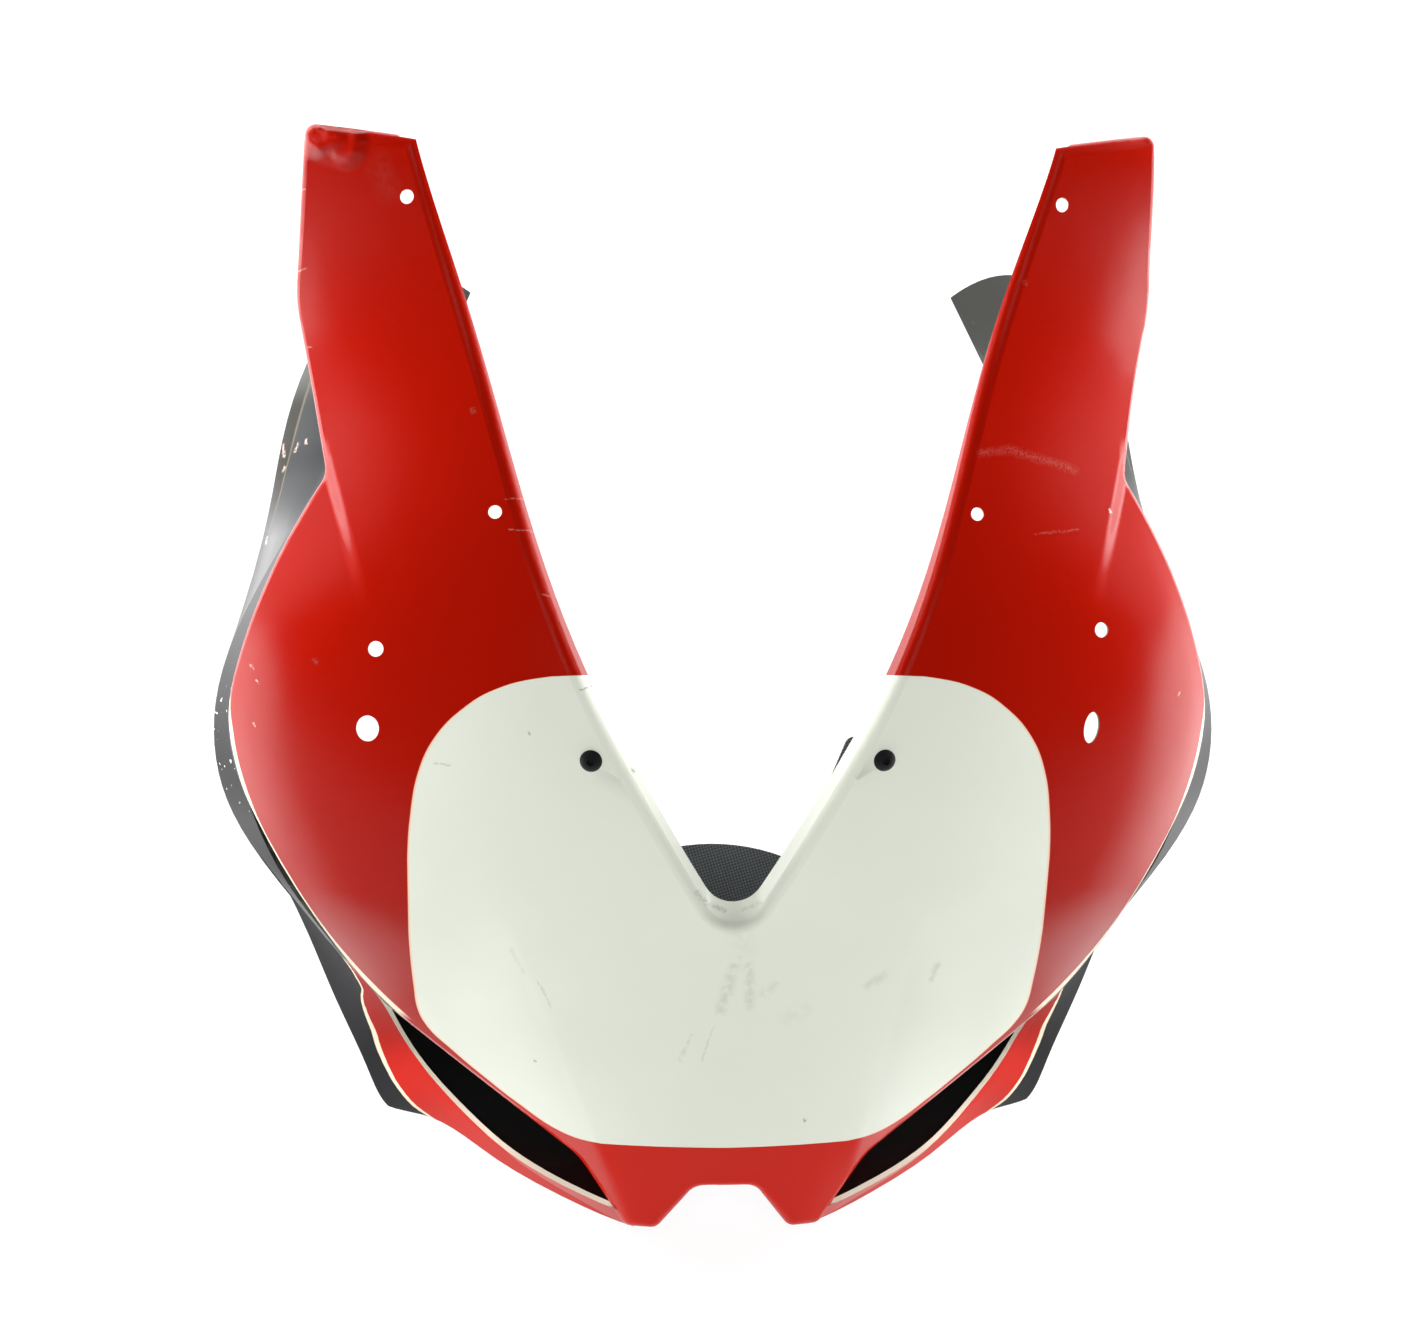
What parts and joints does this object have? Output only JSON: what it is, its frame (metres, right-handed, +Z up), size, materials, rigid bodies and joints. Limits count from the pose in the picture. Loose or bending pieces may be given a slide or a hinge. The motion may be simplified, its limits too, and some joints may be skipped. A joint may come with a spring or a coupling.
{
  "type": "motorcycle nose fairing",
  "caption": "Thin moulded motorcycle nose fairing with a vee-shaped screen opening between tall arms, bulging cheeks, slanting intake mouths and a notched chin.",
  "frame": {"origin": "midway between the fairing-stay holes of the cheeks, on the plane through the middle of the face", "axes": "+X across the bike to the right of the picture, -Y forward, +Z up; the face leans back 45 degrees"},
  "size_m": [0.4814, 0.3796, 0.4474],
  "materials": {
    "painted_laminate": "gloss red paint with an ivory number field and black sides, scratched with use",
    "woven_laminate": "black woven laminate, satin",
    "black_screw": "satin black",
    "nut_rubber": "moulded rubber"
  },
  "bodies": {
    "root": {"fairing_shell": "painted_laminate", "inner_floor": "woven_laminate", "screen_screws": "black_screw", "well_nuts": "nut_rubber"}
  },
  "joints": []
}
